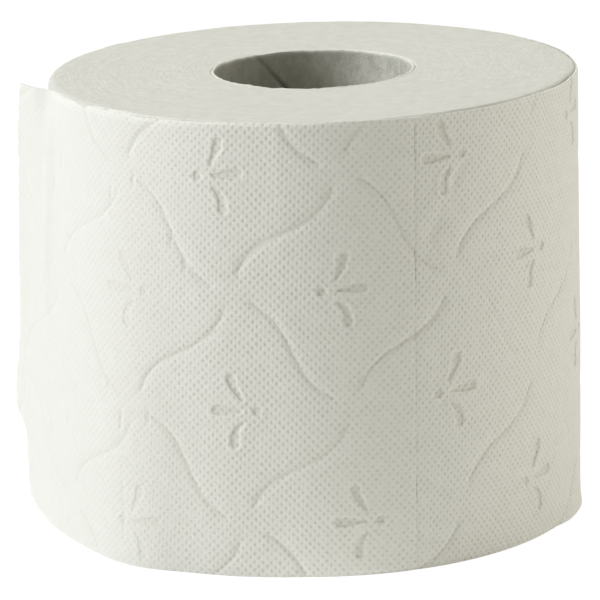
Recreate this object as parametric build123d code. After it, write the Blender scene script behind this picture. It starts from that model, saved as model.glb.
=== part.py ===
from build123d import *
import math
import os

# A toilet paper roll standing on one end: the wound tissue strip with its loose tail, and the
# cardboard tube inside it. The origin is on the roll's axis at the base, +Z is up, and the front is
# on the -Y side. Angles round the roll are in degrees from the front, positive to the right (+X).

# Driving dimensions, in millimetres
sheet_width = 97.0
roll_diameter = 115.0
sheet_thickness = 0.4
core_bore = 43.0
core_wall = 0.6
core_fit = 0.05
overrun = 1.0

# Rims and ends of the wound body
rim_round = 1.6
rim_round_steps = 2
rim_flat = 1.2
core_flat = 1.0
turn_ridges = 4
turn_ridge_depth = 0.35
turn_ridge_sink = 0.1

# The last turn, which stands off the body on the right
lip_gap = 0.9
lip_gap_from_angle = 8.0
lip_gap_to_angle = 130.0

# The loose stretch on the front left and the tail, seen from above
loose_angle = -8.0
lower_span_angle = 92.2
lower_standoff = 10.6
upper_span_angle = 89.0
upper_standoff = 20.4
root_depth = 0.3
lower_path_shares = (
    (0.000, 0.000), (0.152, 0.114), (0.239, 0.199), (0.315, 0.360), (0.397, 0.435), (0.499, 0.378),
    (0.607, 0.369), (0.727, 0.454), (0.824, 0.558), (0.900, 0.700), (1.000, 1.000),
)
upper_path_shares = (
    (0.000, 0.000), (0.190, 0.000), (0.380, 0.000), (0.540, 0.000), (0.667, 0.029), (0.730, 0.083),
    (0.793, 0.206), (0.850, 0.340), (0.917, 0.598), (1.000, 1.000),
)

# The torn perforated edge of the tail: share of the height, then how far back as a share of its reach
tear_reach = 10.3
tear_edge_shares = (
    (1.020, -0.98), (0.940, -0.82), (0.870, -0.76), (0.800, -0.71), (0.720, -0.67), (0.660, -0.61),
    (0.570, -0.53), (0.485, -0.43), (0.410, -0.25), (0.370, -0.10), (0.330, 0.09), (0.290, 0.26),
    (0.235, 0.52), (0.200, 0.66), (0.188, 0.37), (0.180, 0.12), (0.150, 0.06), (0.110, 0.17),
    (0.070, 0.31), (0.030, 0.46), (-0.020, 0.60),
)

# The perforation line on the front
perforation_angle = 19.9
perforation_lean_angle = 0.9
slit_length = 5.2
slit_pitch = 8.8
slit_width = 0.3
slit_depth = 0.35

# The embossed trellis: crossings on a leaning grid, joined by S-shaped strokes
trellis_width = 47.5
trellis_height = 49.9
trellis_lean_angle = 2.55
trellis_start_along = 4.5
trellis_start_height = 86.8
stroke_bow = 2.4
stroke_width = 1.2
stroke_depth = 0.3
stroke_start_share = 0.11
stroke_stop_share = 0.89
stroke_stations = 5

# The helical seam of the cardboard tube
seam_rise_angle = 48.4
seam_width = 0.7
seam_depth = 0.2
seam_top_angle = -144.0

# Sizes that follow from the ones above
roll_radius = roll_diameter / 2
body_radius = roll_radius - sheet_thickness
core_radius = core_bore / 2
core_outer_radius = core_radius + core_wall
paper_bore_radius = core_outer_radius + core_fit
winding_shift = sheet_thickness / 2
far_radius = 2 * roll_radius
loose_along = math.radians(loose_angle) * roll_radius


def around(angle, radius):
    """The plan position at an angle from the front and a radius from the axis."""
    turn = math.radians(angle)
    return Vector(radius * math.sin(turn), -radius * math.cos(turn), 0)


def half_turn(outline, centre, start_angle):
    """A closed outline of (radius, height) points, revolved half a turn about its own centre."""
    points = [(radius, 0, height) for radius, height in outline]
    face = make_face(Polyline(*points, close=True))
    return Pos(centre, 0, 0) * Rot(0, 0, start_angle) * revolve(face, Axis.Z, 180)


def wound(make_half):
    """Two half turns about centres half a sheet apart, so that the wall grows by one sheet a turn.

    The step between the ends of the turn faces the loose stretch. make_half gives the outline of a
    half for the amount that its radius is smaller.
    """
    first = half_turn(make_half(0), 0, 0)
    second = half_turn(make_half(winding_shift), -winding_shift, 180)
    return Rot(0, 0, loose_angle - 90) * (first + second)


def wall_outline(smaller):
    """The wound wall's outline over a half turn, as wide as the strip."""
    edge = roll_radius - smaller
    return [(0, 0), (edge, 0), (edge, sheet_width), (0, sheet_width)]


def rim_relief(at_top):
    """The rounding of the body's rim under the free edge of the last turn, as a ring to cut away."""
    def outline(smaller):
        edge = body_radius - smaller
        middle = (edge - rim_round, sheet_width - rim_round)
        points = []
        for step in range(rim_round_steps + 1):
            turn = math.pi / 2 * step / rim_round_steps
            points.append((middle[0] + rim_round * math.cos(turn), middle[1] + rim_round * math.sin(turn)))
        points += [(middle[0], sheet_width + overrun), (edge, sheet_width + overrun)]
        if at_top:
            return points
        return [(radius, sheet_width - height) for radius, height in points]
    return wound(outline)


def turn_ridge_cut(at_top):
    """The wound edges of the strip on one end: a spiral of shallow ridges made of half turns."""
    inner = paper_bore_radius + core_flat
    outer = body_radius - rim_round - rim_flat
    pitch = (outer - inner) / (turn_ridges + 1)
    valley = sheet_width - turn_ridge_depth
    ridge = sheet_width - turn_ridge_sink

    def outline(start):
        points = [(start, ridge)]
        for turn in range(turn_ridges):
            points.append((start + (turn + 0.5) * pitch, valley))
            points.append((start + (turn + 1) * pitch, ridge))
        points.append((start + turn_ridges * pitch, sheet_width + overrun))
        points.append((start, sheet_width + overrun))
        if at_top:
            return points
        return [(radius, sheet_width - height) for radius, height in points]

    front = half_turn(outline(inner), 0, 180)
    back = half_turn(outline(inner + pitch / 2), pitch / 2, 0)
    return front + back


def lip_gap_cut():
    """The crescent gap between the body and the last turn, open through the whole height."""
    middle_angle = (lip_gap_from_angle + lip_gap_to_angle) / 2
    start = around(lip_gap_from_angle, body_radius)
    stop = around(lip_gap_to_angle, body_radius)
    outer = ThreePointArc(start, around(middle_angle, body_radius), stop)
    inner = ThreePointArc(stop, around(middle_angle, body_radius - lip_gap), start)
    crescent = make_face(outer + inner)
    return Pos(0, 0, -overrun) * extrude(crescent, sheet_width + 2 * overrun, dir=(0, 0, 1))


def loose_path(shares, span, standoff):
    """The plan points of the loose stretch's outer face."""
    return [around(loose_angle - a * span, roll_radius + b * standoff) for a, b in shares]


lower_path = loose_path(lower_path_shares, lower_span_angle, lower_standoff)
upper_path = loose_path(upper_path_shares, upper_span_angle, upper_standoff)
lower_line = Spline(*lower_path)
upper_line = Spline(*upper_path)


def stand_in(points, shares, depth, root):
    """The path's points moved inwards by a depth, and further where the sheet still lies on the roll."""
    moved = []
    for index, point in enumerate(points):
        before = points[max(index - 1, 0)]
        after = points[min(index + 1, len(points) - 1)]
        along = (after - before).normalized()
        inward = Vector(along.Y, -along.X, 0)
        extra = root if shares[index][1] == 0 else 0
        moved.append(point + inward * (depth + extra))
    return moved


def sheet_section(points, shares, outside, inside, root, height):
    """A closed band in plan along the path, from outside it to inside it, at one height."""
    outer = stand_in(points, shares, -outside, 0)
    inner = stand_in(points, shares, inside, root)
    band = Spline(*outer) + Line(outer[-1], inner[-1]) + Spline(*reversed(inner)) + Line(inner[0], outer[0])
    return Pos(0, 0, height) * make_face(band)


def sheet_body(outside, inside, root):
    """A band along the loose stretch from its lower path at the base to its upper path at the top."""
    lower = sheet_section(lower_path, lower_path_shares, outside, inside, root, 0)
    upper = sheet_section(upper_path, upper_path_shares, outside, inside, root, sheet_width)
    return loft([lower, upper], ruled=True)


def torn_off():
    """Everything behind the torn edge of the tail, as a plate seen from the side."""
    edge = [(share * tear_reach, height * sheet_width) for height, share in tear_edge_shares]
    corners = edge + [(far_radius, edge[-1][1]), (far_radius, edge[0][1])]
    points = [(-far_radius, y, z) for y, z in corners]
    plate = make_face(Polyline(*points, close=True))
    return extrude(plate, far_radius - core_radius, dir=(1, 0, 0))


def loose_sheet():
    """The loose stretch of the strip with its tail, cut to the torn edge."""
    return sheet_body(0, sheet_thickness, root_depth) - torn_off()


def perforation():
    """The line of short slits that the next sheet tears along."""
    count = int(sheet_width / slit_pitch)
    first = (sheet_width - (count - 1) * slit_pitch) / 2
    slits = []
    for index in range(count):
        height = first + index * slit_pitch
        angle = perforation_angle + perforation_lean_angle * (height / sheet_width - 0.5)
        place = around(angle, roll_radius)
        slit = Box(slit_width, 2 * slit_depth, slit_length)
        slits.append(Pos(place.X, place.Y, height) * Rot(0, 0, angle) * slit)
    return slits


def wall_frame(along, height):
    """The plane that touches the wall's outer face at a distance along it and a height.

    Distances run from the front, positive to the right, and follow the loose stretch on the left.
    """
    if along >= loose_along:
        turned = (along - loose_along) / roll_radius
        radius = roll_radius
        if turned > math.pi:
            radius -= winding_shift * (1 + math.cos(turned))
        out = around(math.degrees(along / roll_radius), 1)
        place = out * radius + Vector(0, 0, height)
        return Plane(origin=place, x_dir=(-out.Y, out.X, 0), z_dir=out)
    level = height / sheet_width
    reach = loose_along - along
    places = []
    for line in (lower_line, upper_line):
        share = reach / line.length
        places.append((line.position_at(share), line.tangent_at(share)))
    place = places[0][0] * (1 - level) + places[1][0] * level + Vector(0, 0, height)
    tangent = -(places[0][1] * (1 - level) + places[1][1] * level).normalized()
    return Plane(origin=place, x_dir=tangent, z_dir=Vector(tangent.Y, -tangent.X, 0))


def trellis_point(across, up):
    """The place on the wall of a crossing, counted in half cells."""
    lean = math.radians(trellis_lean_angle)
    side = across * trellis_width / 2
    rise = up * trellis_height / 2
    along = trellis_start_along + side * math.cos(lean) - rise * math.sin(lean)
    height = trellis_start_height + side * math.sin(lean) + rise * math.cos(lean)
    return along, height


def stroke(start, stop):
    """One S-shaped stroke between two crossings, as a V that follows the wall's face.

    Its middle line leaves the straight line between the crossings by one full sine wave.
    """
    run = stop[0] - start[0]
    rise = stop[1] - start[1]
    length = math.hypot(run, rise)
    stretch = stroke_stop_share - stroke_start_share
    sections = []
    for index in range(stroke_stations):
        share = stroke_start_share + stretch * index / (stroke_stations - 1)
        wave = 2 * math.pi * share
        bow = stroke_bow * math.sin(wave) / length
        turn = 2 * math.pi * stroke_bow * math.cos(wave) / length
        frame = wall_frame(start[0] + run * share - bow * rise, start[1] + rise * share + bow * run)
        ahead = frame.x_dir * (run - turn * rise) + frame.y_dir * (rise + turn * run)
        across = ahead.cross(frame.z_dir) * -1
        left = (-stroke_width, stroke_depth)
        right = (stroke_width, stroke_depth)
        section = make_face(Polyline(left, right, (0, -stroke_depth), close=True))
        sections.append(Plane(origin=frame.origin, x_dir=across, z_dir=ahead) * section)
    return loft(sections, ruled=True)


def trellis():
    """The strokes of the trellis all round the wound wall and along the loose stretch."""
    shown_from = loose_along - lower_line.length
    shown_to = shown_from + 2 * math.pi * roll_radius
    half_cells = int((shown_to - shown_from) / trellis_width * 2) + 2
    rows = int(2 * sheet_width / trellis_height) + 3
    strokes = []
    for up in range(-rows, rows):
        for across in range(-half_cells, half_cells + 1):
            if (up + across) % 2:
                continue
            start = trellis_point(across, up)
            for side in (-1, 1):
                stop = trellis_point(across + side, up - 1)
                left, right = sorted((start[0], stop[0]))
                if left > shown_from and right < shown_to and start[1] > 0 and stop[1] < sheet_width:
                    strokes.append(stroke(start, stop))
    return strokes


def paper_roll():
    """All turns of the strip in one piece."""
    roll = wound(wall_outline)
    for at_top in (True, False):
        roll -= rim_relief(at_top)
        roll -= turn_ridge_cut(at_top)
    roll -= Pos(0, 0, sheet_width / 2) * Cylinder(paper_bore_radius, sheet_width + 2 * overrun)
    roll -= lip_gap_cut()
    roll += loose_sheet()
    roll -= perforation()
    roll -= trellis()
    return roll


def core_tube():
    """The spiral-wound cardboard tube, with the seam of its inner strip."""
    middle = Pos(0, 0, sheet_width / 2)
    tube = middle * (Cylinder(core_outer_radius, sheet_width) - Cylinder(core_radius, sheet_width))
    lead = 2 * math.pi * core_radius * math.tan(math.radians(seam_rise_angle))
    path = Helix(lead, sheet_width + 2 * overrun, core_radius)
    start = Plane(origin=path @ 0, z_dir=path % 0, x_dir=(1, 0, 0))
    seam = sweep(start * Rectangle(2 * seam_depth, seam_width), path, is_frenet=True)
    turned = 360 * (sheet_width + overrun) / lead
    return tube - Rot(0, 0, seam_top_angle - 90 - turned) * Pos(0, 0, -overrun) * seam


os.makedirs("parts", exist_ok=True)
export_step(core_tube(), "parts/core_tube.step")
export_step(paper_roll(), "parts/paper_roll.step")
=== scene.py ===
"""A toilet paper roll that stands on one end, with its last turn coming loose on the left.

Lengths are in millimetres until they go into a mesh, which is in metres. A place on the strip is given
by its run, the distance along the wall from the front (positive to the right), and its height.
"""
import math
import bpy
import numpy as np
from mathutils import Matrix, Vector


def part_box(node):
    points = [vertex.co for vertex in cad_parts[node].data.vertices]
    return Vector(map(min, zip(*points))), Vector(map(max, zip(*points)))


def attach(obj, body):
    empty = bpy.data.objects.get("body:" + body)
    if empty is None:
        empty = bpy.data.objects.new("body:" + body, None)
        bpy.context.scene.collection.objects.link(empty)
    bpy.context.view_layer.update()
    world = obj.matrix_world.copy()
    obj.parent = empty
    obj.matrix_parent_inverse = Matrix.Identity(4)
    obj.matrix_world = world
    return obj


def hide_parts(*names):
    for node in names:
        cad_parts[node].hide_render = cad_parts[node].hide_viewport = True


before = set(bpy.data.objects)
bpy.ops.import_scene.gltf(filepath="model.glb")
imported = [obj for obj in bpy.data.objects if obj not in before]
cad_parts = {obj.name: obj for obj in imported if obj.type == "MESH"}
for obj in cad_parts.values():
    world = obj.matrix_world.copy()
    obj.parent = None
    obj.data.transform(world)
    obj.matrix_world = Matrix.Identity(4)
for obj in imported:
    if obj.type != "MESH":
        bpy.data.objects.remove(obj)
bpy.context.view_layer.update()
_, roll_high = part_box("paper_roll")
_, tube_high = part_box("core_tube")

MM = 0.001
RADIUS = roll_high.x / MM
WIDTH = roll_high.z / MM
THICK = 0.32
BOARD_OUTER = tube_high.x / MM
BOARD = 0.6
BORE = BOARD_OUTER - BOARD

# The wall's shrink in one turn, the tuck of the strip's hidden end, and how far the wound body lies
# inside the strip and off the tube
TURN_SHRINK = 0.4
END_TUCK = 0.25
BODY_INSET = 0.12
TUBE_GAP = 0.06

# The loose stretch: where it leaves the roll, and its plan along the base and along the top
LOOSE_ANGLE = -8.0
LOWER_SPAN, LOWER_STANDOFF = 92.2, 10.6
UPPER_SPAN, UPPER_STANDOFF = 89.0, 20.4
LOWER_SHARES = (
    (0, 0), (0.152, 0.114), (0.239, 0.199), (0.315, 0.36), (0.397, 0.435), (0.499, 0.378),
    (0.607, 0.369), (0.727, 0.454), (0.824, 0.558), (0.9, 0.7), (1, 1),
)
UPPER_SHARES = (
    (0, 0), (0.19, 0), (0.38, 0), (0.54, 0), (0.667, 0.029), (0.73, 0.083),
    (0.793, 0.206), (0.85, 0.34), (0.917, 0.598), (1, 1),
)
LOOSE_RUN = math.radians(LOOSE_ANGLE) * RADIUS

# The torn edge of the tail: height, then its run
TEAR = (
    (0, -102.2), (2.4, -101.5), (6.6, -99.3), (14.4, -96.7), (17.6, -97), (18.6, -99.6),
    (19.3, -104.2), (21.5, -103.6), (24, -102.4), (27.8, -100), (31.8, -97.3), (35.8, -94.8),
    (39.6, -93.3), (43.4, -92.2), (47, -91.4), (64.4, -88.9), (78, -87.3), (84.6, -86.7),
    (91.4, -85.8), (94.6, -85.6), (97, -84.4),
)

# The embossed trellis, its strokes and the wide troughs round them
TRELLIS_CELL = (47.5, 49.9)
TRELLIS_LEAN = math.radians(2.55)
TRELLIS_START = (4.5, 86.8)
STROKE_BOW = 2.3
STROKE_SHARES = (0.085, 0.91)
STROKE_DEPTH, STROKE_WIDTH = 0.27, 0.62
TROUGH_DEPTH, TROUGH_WIDTH = 0.10, 1.8
FAINT_STROKE, FAINT_FROM_RUN = 0.3, 19.0

# A sprig: the centre line and the half width along it, for its dot and its three petals
SPRIG = (
    (((-4.52, -0.1), (-4.48, -0.1)), (0.88, 0.88)),
    (((-1.2, -0.05), (1.5, 0.05), (4.1, 0.15)), (0.25, 1.02)),
    (((-1.6, 2.3), (-0.65, 4.0), (0.15, 5.6), (0.5, 7.1)), (0.25, 0.90)),
    (((-1.45, -2.6), (-0.15, -3.8), (0.45, -5.4), (0.5, -7.1)), (0.25, 0.92)),
)
SPRIG_SHIFT = -0.55
SPRIG_DEPTH = 0.30
SPRIG_WALL = 0.28

# The distance that stands for no stroke and no sprig nearby
FAR = 3.0

# The share of its embossing that the left end keeps, which also weakens the painted shade there, where the
# lamp on the left lights the hollows, and the runs between which it comes back
LEFT_END_SHARE, LEFT_END_RUN, CRISP_RUN = 0.12, -70.0, -14.0

# How far the strip's handling moved the trellis along it: run, then the shift there
STRETCH = ((-67.0, -3.3), (-43.0, -1.0), (-18.0, -0.8), (5.0, 0.0), (30.0, -0.7), (52.0, -1.9))

# The lattice of small dimples: cycles in each millimetre of run and of height, for both waves
DIMPLE_WAVES = ((0.584, 0.510), (0.541, -0.571))
DIMPLE_DEPTH = 0.055
RIGHT_SHEET_SQUEEZE = 0.12

# The front perforation: its run at the base and at the top, the dip along it, and each slit's top, foot
# and openness
PERFORATION_RUNS = (19.3, 20.7)
PERFORATION_MIDDLE = sum(PERFORATION_RUNS) / 2
VALLEY_DEPTH, VALLEY_WIDTH = 0.16, 0.36
SLIT_HALF_WIDTH = 0.032
SLITS = (
    (95.3, 89.1, 1), (82.7, 80, 0.5), (73.6, 72.1, 0.7), (70, 62.3, 1), (59.3, 57, 0.5),
    (53, 49.5, 0.8), (48, 46.6, 0.6), (44.9, 43.4, 0.7), (37, 34.9, 0.5), (29, 26.5, 0.4),
    (20.4, 15.7, 1), (10.8, 9.1, 0.8), (5.9, 3.4, 0.8),
)

# Rims: how far the ends lie under the strip's width, the gap between two turns there, and the radii
END_SINK = 0.12
TURN_GAP = 0.42
RIM_RADIUS, RIM_GROWTH, WIDEST_RIM = 0.7, 0.9, 2.3

# The strip's edges: how far in they are rounded, and how much of the relief is lost there
TOP_ROUND, FOOT_ROUND, EDGE_CALM = 2.4, 1.6, 0.6
FACE_SINK, FOOT_TUCK = 0.12, 0.25

# How far the last turn stands off on the right, the body swells on the left, the second turn lies out
# behind, and the last turn's foot flares
LIP_GAP = 0.80
SIDE_SWELL = 0.45
SECOND_TURN_LIFT = 0.45
FOOT_FLARE, FLARE_HEIGHT = 0.85, 6.0

# Where they do so, in degrees: the start and the length of its step, the stop and the length of its step
LIP_STRETCH = (3, 26, 86, 18)
SWELL_STRETCH = (-135, 35, -50, 22)
SECOND_TURN_STRETCH = (150, 60, 312, 22)
FLARE_STRETCH = (58, 10, 88, 13)
FREE_FOOT_STRETCH = (60, 12, 112, 20)

# Where the strip's pieces meet, how far the second turn goes on under the loose sheet, and over what
# length the mesh gives way to the torn edge and to the slits
LEFT_JOINT, RIGHT_JOINT = -46.0, 94.0
UNDERLAP = 6.0
TAIL_GIVE, SLIT_GIVE = 26.0, 7.0

# The mesh's steps along the tail, the front left and the front right, up these, and on the back
TAIL_STEP, LEFT_STEP, RIGHT_STEP, ROW_STEP, BACK_STEP = 0.35, 0.34, 0.36, 0.34, 0.75

# The noise along the strip starts this far on, so that it has no places below zero
NOISE_START = 900

# Folds from handling: the chain of places, the depth (a negative one stands out) and the width
CREASES = (
    (((-73.2, 97), (-73.6, 88), (-75, 72), (-76.8, 55), (-76, 38)), -0.3, 1.7),
    (((-68, 84.2), (-68, 81)), 0.22, 0.45),
    (((-71.2, 79.5), (-71.9, 74.5)), 0.16, 0.5),
    (((-31.8, 72.6), (-31.8, 69.7)), 0.2, 0.4),
    (((-28.9, 67.8), (-28.6, 64.4)), 0.2, 0.4),
    (((-41.2, 84.6), (-41.3, 81.3)), 0.22, 0.4),
    (((-47.9, 81.8), (-48.2, 77.8)), 0.22, 0.4),
    (((-44.4, 64.6), (-41.6, 61.8)), -0.15, 0.6),
    (((-45.6, 34), (-46.6, 28)), 0.22, 0.42),
    (((-38.4, 34.6), (-38.6, 31.4)), 0.22, 0.42),
    (((-50.1, 39.1), (-50.2, 36.1)), 0.18, 0.42),
    (((-47.4, 37.1), (-44.1, 36.4)), -0.14, 0.6),
    (((-52.8, 24), (-52.1, 20.9)), 0.18, 0.45),
    (((-45.6, 21), (-45.6, 14), (-45.5, 9.5), (-45.7, 3.8)), 0.14, 0.45),
    (((-92.5, 18.3), (-86.7, 14.3), (-80.2, 10)), 0.25, 0.6),
    (((-76.8, 23.9), (-75.3, 20.3)), 0.15, 0.8),
    (((-67.2, 28.5), (-67.3, 24.8)), 0.15, 0.5),
    (((-69.5, 40.8), (-69.2, 36.7)), 0.15, 0.5),
    (((-76.5, 57.8), (-76.9, 53)), 0.18, 0.5),
    (((27.5, 87), (26, 80.5), (21.4, 69.5)), -0.16, 1.3),
    (((25.6, 76.5), (24.4, 72.5), (23.4, 68.5)), 0.36, 2.2),
    (((34, 88), (30.5, 84), (28.5, 79)), 0.22, 1.1),
    (((58, 9), (52, 5.5), (44, 3.6)), 0.2, 1.2),
    (((62.5, 24), (60.5, 15), (56.5, 7.5)), -0.18, 0.9),
)
DOG_EAR = ((-83.5, 93.2), (-76.5, 96.8))
DOG_EAR_SLOPE = 0.07


def smooth(x):
    """Zero below 0 and one above 1, with a smooth S between: 3x squared minus 2x cubed."""
    x = np.clip(x, 0, 1)
    return x * x * (3 - 2 * x)


def between(x, start, rise, stop, fall):
    """One from start to stop and zero outside, with a smooth step of the given length inside each end."""
    return smooth((x - start) / rise) * smooth((stop - x) / fall)


def noise(x, y, cell_x, cell_y, seed, wrap_x=0):
    """Soft random hills from -1 to 1: random values on a grid of cells, blended by smooth steps."""
    rng = np.random.default_rng(seed)
    columns = wrap_x or 211
    table = rng.uniform(-1, 1, (columns, 197))
    a, b = x / cell_x, y / cell_y
    i, j = np.floor(a).astype(int), np.floor(b).astype(int)
    fa, fb = smooth(a - i), smooth(b - j)
    i0, i1, j0, j1 = i % columns, (i + 1) % columns, j % 197, (j + 1) % 197
    near = table[i0, j0] * (1 - fa) + table[i1, j0] * fa
    far = table[i0, j1] * (1 - fa) + table[i1, j1] * fa
    return near * (1 - fb) + far * fb


def ripple(x, cell, seed, wrap_x=0):
    """Soft random waves along a line: one row of the noise."""
    return noise(x, np.zeros(x.shape), cell, 1, seed, wrap_x)


def plan_path(shares, span, standoff):
    """A dense curve in plan through points at angles and distances off the roll, with its arc length.

    It is the cubic through the points whose second derivative is continuous, and zero at both ends.
    """
    a, b = np.array(shares).T
    angle = np.radians(LOOSE_ANGLE - a * span)
    reach = RADIUS + b * standoff
    points = np.stack([reach * np.sin(angle), -reach * np.cos(angle)], -1)
    t = np.r_[0, np.cumsum(np.hypot(*np.diff(points, axis=0).T))]
    h = np.diff(t)
    n = len(t)
    system = np.eye(n)
    right = np.zeros((n, 2))
    rows = np.arange(1, n - 1)
    system[rows, rows - 1] = h[:-1]
    system[rows, rows] = 2 * (h[:-1] + h[1:])
    system[rows, rows + 1] = h[1:]
    slope = np.diff(points, axis=0) / h[:, None]
    right[1:-1] = 6 * (slope[1:] - slope[:-1])
    bend = np.linalg.solve(system, right)
    q = np.linspace(0, t[-1], 3000)
    k = np.clip(np.searchsorted(t, q) - 1, 0, n - 2)
    u = (q - t[k])[:, None]
    w = (t[k + 1] - q)[:, None]
    g = h[k][:, None]
    curve = (bend[k] * w ** 3 + bend[k + 1] * u ** 3) / (6 * g)
    curve += (points[k] / g - bend[k] * g / 6) * w + (points[k + 1] / g - bend[k + 1] * g / 6) * u
    along = np.r_[0, np.cumsum(np.hypot(*np.diff(curve, axis=0).T))]
    return along, curve


LOWER = plan_path(LOWER_SHARES, LOWER_SPAN, LOWER_STANDOFF)
UPPER = plan_path(UPPER_SHARES, UPPER_SPAN, UPPER_STANDOFF)


def follow(path, u):
    """The plan place at a distance along a path, which goes straight on past its end."""
    along, curve = path
    ahead = curve[-1] - curve[-2]
    ahead = ahead / np.hypot(*ahead)
    over = np.clip(u - along[-1], 0, None)
    x = np.interp(u, along, curve[:, 0]) + over * ahead[0]
    y = np.interp(u, along, curve[:, 1]) + over * ahead[1]
    return x, y


def wall_plan(run, z):
    """Where a place on the strip is, seen from above.

    Right of the loose line it is a circle that shrinks a little as it turns; left of it, the place
    moves from the path of the base to the path of the top in step with the height.
    """
    angle = run / RADIUS
    turned = np.clip((run - LOOSE_RUN) / (math.tau * RADIUS), 0, 2)
    tuck = END_TUCK * smooth((turned - 0.93) / 0.06)
    reach = RADIUS - TURN_SHRINK * smooth((turned - 0.3) / 0.6) - tuck
    x, y = reach * np.sin(angle), -reach * np.cos(angle)
    u = np.clip(LOOSE_RUN - run, 0, None)
    xl, yl = follow(LOWER, u)
    xu, yu = follow(UPPER, u)
    level = np.clip(z / WIDTH, 0, 1)
    loose = run < LOOSE_RUN
    x = np.where(loose, xl * (1 - level) + xu * level, x)
    y = np.where(loose, yl * (1 - level) + yu * level, y)
    return x, y


def wall_outward(run, z):
    """The direction out of the wall in plan, square to the strip's run there."""
    step = 0.4
    xa, ya = wall_plan(run - step, z)
    xb, yb = wall_plan(run + step, z)
    tx, ty = xb - xa, yb - ya
    size = np.hypot(tx, ty)
    return ty / size, -tx / size


def near_line(run, z, points):
    """The distance from a chain of points, the share of its length there, and the side of it.

    The side is the sign of the cross product of the chain's direction and the offset from it: positive
    on the right of a chain that goes down.
    """
    points = np.array(points, float)
    best = np.full(run.shape, 1e9)
    share = np.zeros(run.shape)
    side = np.ones(run.shape)
    lengths = np.hypot(*np.diff(points, axis=0).T)
    whole = lengths.sum()
    done = 0.0
    for (a, b), length in zip(zip(points[:-1], points[1:]), lengths):
        dx, dy = (b - a) / length
        t = np.clip((run - a[0]) * dx + (z - a[1]) * dy, 0, length)
        ox, oy = run - a[0] - t * dx, z - a[1] - t * dy
        d = np.hypot(ox, oy)
        closer = d < best
        best = np.where(closer, d, best)
        share = np.where(closer, (done + t) / whole, share)
        side = np.where(closer, np.sign(dx * oy - dy * ox), side)
        done += length
    return best, share, side


def trellis_place(across, up):
    """A crossing of the trellis, counted in half cells from its start."""
    side, rise = across * TRELLIS_CELL[0] / 2, up * TRELLIS_CELL[1] / 2
    c, s = math.cos(TRELLIS_LEAN), math.sin(TRELLIS_LEAN)
    return np.array([TRELLIS_START[0] + side * c - rise * s, TRELLIS_START[1] + side * s + rise * c])


def stroke_points(start, stop, shares):
    """The middle of an S-shaped stroke: a straight line that one full sine wave pushes sideways."""
    t = np.linspace(shares[0], shares[1], 26)
    ahead = stop - start
    length = np.hypot(*ahead)
    side = np.array([-ahead[1], ahead[0]]) / length
    return start + t[:, None] * ahead + (STROKE_BOW * np.sin(math.tau * t))[:, None] * side


def crossings(low_run, high_run):
    """Every pair of half-cell counts whose crossing can touch the stretch between two runs."""
    half = int((high_run - low_run) / TRELLIS_CELL[0] * 2) + 6
    middle = int(round(((low_run + high_run) / 2 - TRELLIS_START[0]) / TRELLIS_CELL[0] * 2))
    return [(a, b) for b in range(-6, 3) for a in range(middle - half, middle + half) if (a + b) % 2 == 0]


def near_box(run, z, points, margin):
    """Which places lie within a margin of the box round a chain of points."""
    points = np.array(points, float)
    low, high = points.min(0) - margin, points.max(0) + margin
    return (run > low[0]) & (run < high[0]) & (z > low[1]) & (z < high[1])


def press_crease(relief, run, z, points, depth, width):
    """Adds a groove along a chain of points: a bell of the given width that fades to its ends."""
    near = near_box(run, z, points, 3 * width)
    if near.any():
        d, share, _ = near_line(run[near], z[near], points)
        fade = 0.2 + 0.8 * between(share, 0, 0.3, 1, 0.3)
        relief[near] -= depth * np.exp(-(d / width) ** 2) * fade


def press_stroke(relief, marks, run, z, points, strength):
    """Adds one stroke of the trellis: a narrow bell on a wide shallow one, tapered to its ends.

    The marks get the distance from its middle, signed by the side, and how strongly it shows there.
    """
    near = near_box(run, z, points, 5.5)
    if not near.any():
        return
    d, share, side = near_line(run[near], z[near], points)
    taper = between(share, 0, 0.05, 1, 0.05)
    stroke = STROKE_DEPTH * np.exp(-(d / STROKE_WIDTH) ** 2) * taper
    relief[near] -= strength * (stroke + TROUGH_DEPTH * np.exp(-(d / TROUGH_WIDTH) ** 2))
    known = marks["side"][near]
    marks["side"][near] = np.where(d < np.abs(known), side * d, known)
    shows = strength * taper * np.exp(-(d / 0.9) ** 2)
    marks["line"][near] = np.maximum(marks["line"][near], shows)


def press_sprig(relief, marks, run, z, centre, side, depth):
    """Adds a sprig of one dot and three petals, each a flat hollow with a steep wall and a faint rim.

    The side is 1 for a sprig that points to the right, and -1 for one that points to the left.
    """
    near = (np.abs(run - centre[0]) < 10) & (np.abs(z - centre[1]) < 12)
    if not near.any():
        return
    c, s = math.cos(TRELLIS_LEAN), math.sin(TRELLIS_LEAN)
    across, up = run[near] - centre[0] - SPRIG_SHIFT, z[near] - centre[1]
    across, up = side * (across * c + up * s), up * c - across * s
    edge = np.full(across.shape, FAR)
    for line, (narrow, wide) in SPRIG:
        d, share, _ = near_line(across, up, line)
        edge = np.minimum(edge, d - narrow - (wide - narrow) * np.clip(share * 1.3, 0, 1) ** 0.9)
    relief[near] -= depth * smooth((SPRIG_WALL - edge) / (2 * SPRIG_WALL))
    relief[near] += 0.25 * depth * np.exp(-((edge - 0.6) / 0.4) ** 2)
    marks["petal"][near] = np.minimum(marks["petal"][near], edge)


def kept_crisp(run):
    """How much of its embossing the strip kept, and with it how much painted shade its marks get: all
    in front, and little at its left end, where the lamp on the left lights the hollows.
    """
    return LEFT_END_SHARE + (1 - LEFT_END_SHARE) * np.clip((run - LEFT_END_RUN) / (CRISP_RUN - LEFT_END_RUN), 0, 1)


def stroke_strength(middle, side):
    """How deep a stroke is pressed: least for those that go down to the right beyond the perforation."""
    faint = FAINT_STROKE if side > 0 and middle[0] > FAINT_FROM_RUN else 1.0
    return (0.3 + 0.7 * kept_crisp(middle[0])) * faint


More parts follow.
